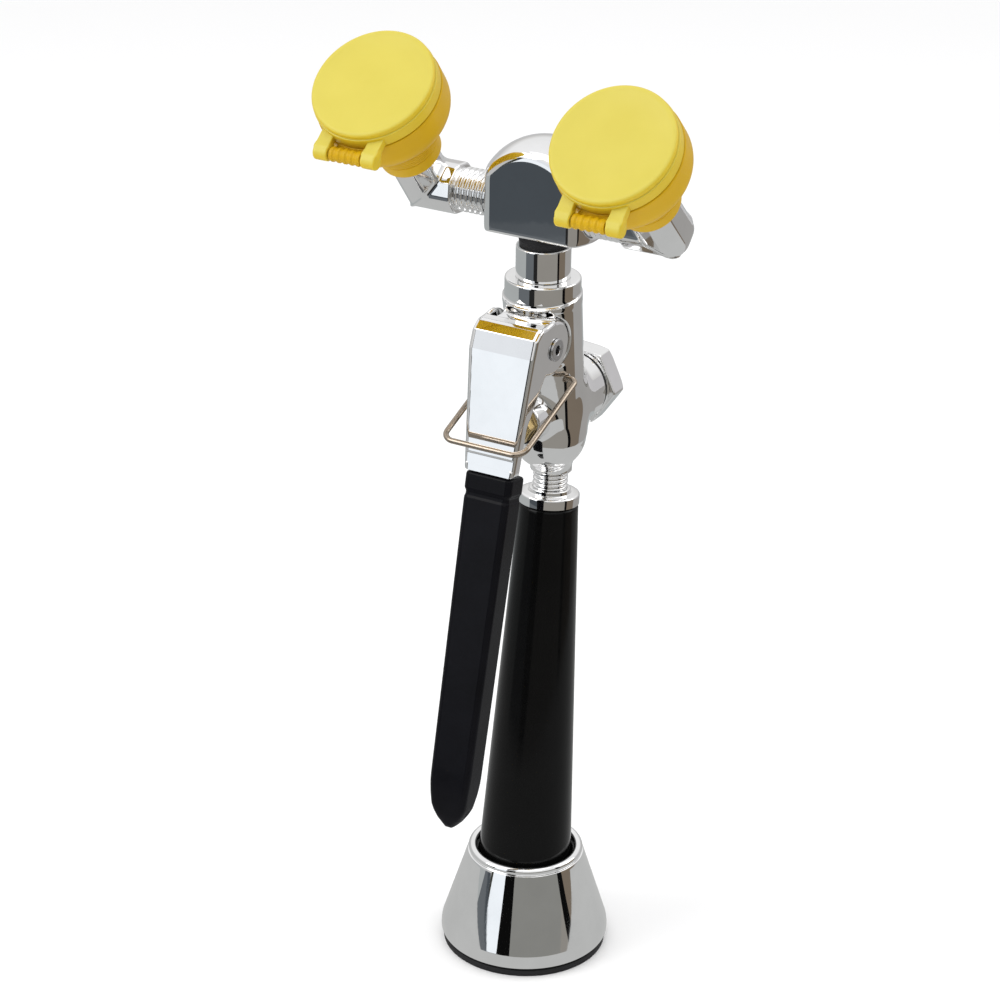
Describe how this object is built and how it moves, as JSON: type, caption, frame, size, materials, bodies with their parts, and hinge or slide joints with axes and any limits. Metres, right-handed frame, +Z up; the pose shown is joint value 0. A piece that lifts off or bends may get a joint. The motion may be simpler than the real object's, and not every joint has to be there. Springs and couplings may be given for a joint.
{
  "type": "eyewash station",
  "caption": "Deck-mounted hand-held eyewash: flange cup, black grip with squeeze lever valve and hold-open clip, domed yoke with two spray heads under flip-up covers.",
  "frame": {"origin": "centre of the deck flange's underside, where the mounting shank's threaded hole meets the deck", "axes": "+Z up out of the deck, +X to the object's right, the squeeze lever faces -Y"},
  "size_m": [0.1546, 0.1125, 0.391],
  "materials": {
    "chrome": "polished chrome plate",
    "gasket_rubber": "matte black rubber",
    "liner_plastic": "black moulded plastic",
    "grip_black": "gloss black moulded sleeve",
    "sleeve_vinyl": "dip-moulded black vinyl, satin gloss",
    "brass": "machined brass",
    "seal_rubber": "black rubber",
    "steel": "turned stainless steel",
    "clip_wire": "drawn stainless wire",
    "head_yellow": "moulded yellow plastic",
    "cover_yellow": "moulded yellow plastic, fine grain",
    "face_yellow": "moulded yellow plastic",
    "flow_plastic": "white moulded plastic",
    "foam": "open-cell foam"
  },
  "bodies": {
    "deck": {"deck_flange": "chrome", "deck_gasket": "gasket_rubber", "flange_liner": "liner_plastic"},
    "handpiece": {"grip_sleeve": "grip_black", "core_tube": "brass", "inlet_bush": "brass", "inlet_washer": "seal_rubber", "grip_ring": "chrome", "neck_nipple": "chrome", "valve_body": "chrome", "valve_seat": "brass", "bonnet_nut": "chrome", "bonnet_seal": "seal_rubber", "packing_nut": "brass", "stem_packing": "seal_rubber", "outlet_nipple": "chrome", "outlet_seal": "seal_rubber", "lever_rivet": "steel", "yoke": "chrome", "left_elbow": "chrome", "right_elbow": "chrome", "left_head": "head_yellow", "right_head": "head_yellow", "left_flow_disc": "flow_plastic", "right_flow_disc": "flow_plastic", "left_foam": "foam", "right_foam": "foam", "left_spray_face": "face_yellow", "right_spray_face": "face_yellow", "left_hinge_pin": "steel", "right_hinge_pin": "steel"},
    "lever": {"lever": "chrome", "lever_sleeve": "sleeve_vinyl"},
    "stem": {"valve_stem": "steel", "valve_disc": "brass", "disc_washer": "seal_rubber", "valve_spring": "steel"},
    "clip": {"hold_open_clip": "clip_wire"},
    "left_cover": {"left_cover": "cover_yellow"},
    "right_cover": {"right_cover": "cover_yellow"}
  },
  "joints": [
    {"name": "lift_out", "type": "slide", "parent": "deck", "child": "handpiece", "axis": [0, 0.0941, 0.9956], "range_m": [0, 0.06]},
    {"name": "lever_squeeze", "type": "hinge", "parent": "handpiece", "child": "lever", "pos_m": [0, -0.0099, 0.2732], "axis": [1, 0, 0], "range_deg": [0, 11], "stiffness_Nm_per_rad": 2, "springref_deg": -8.59},
    {"name": "stem_travel", "type": "slide", "parent": "handpiece", "child": "stem", "axis": [0, 1, 0], "range_m": [0, 0.0065], "deforming": ["valve_spring"]},
    {"name": "clip_swing", "type": "hinge", "parent": "handpiece", "child": "clip", "pos_m": [0, 0.002, 0.257], "axis": [1, 0, 0], "range_deg": [-85, 9]},
    {"name": "left_cover_open", "type": "hinge", "parent": "handpiece", "child": "left_cover", "pos_m": [-0.0521, -0.05394, 0.35201], "axis": [1, 0, 0], "range_deg": [0, 110]},
    {"name": "right_cover_open", "type": "hinge", "parent": "handpiece", "child": "right_cover", "pos_m": [0.0521, -0.05644, 0.34565], "axis": [1, 0, 0], "range_deg": [0, 110]}
  ],
  "couplings": [
    {"joint": "stem_travel", "follows": "lever_squeeze", "m_per_rad": 0.0325}
  ]
}
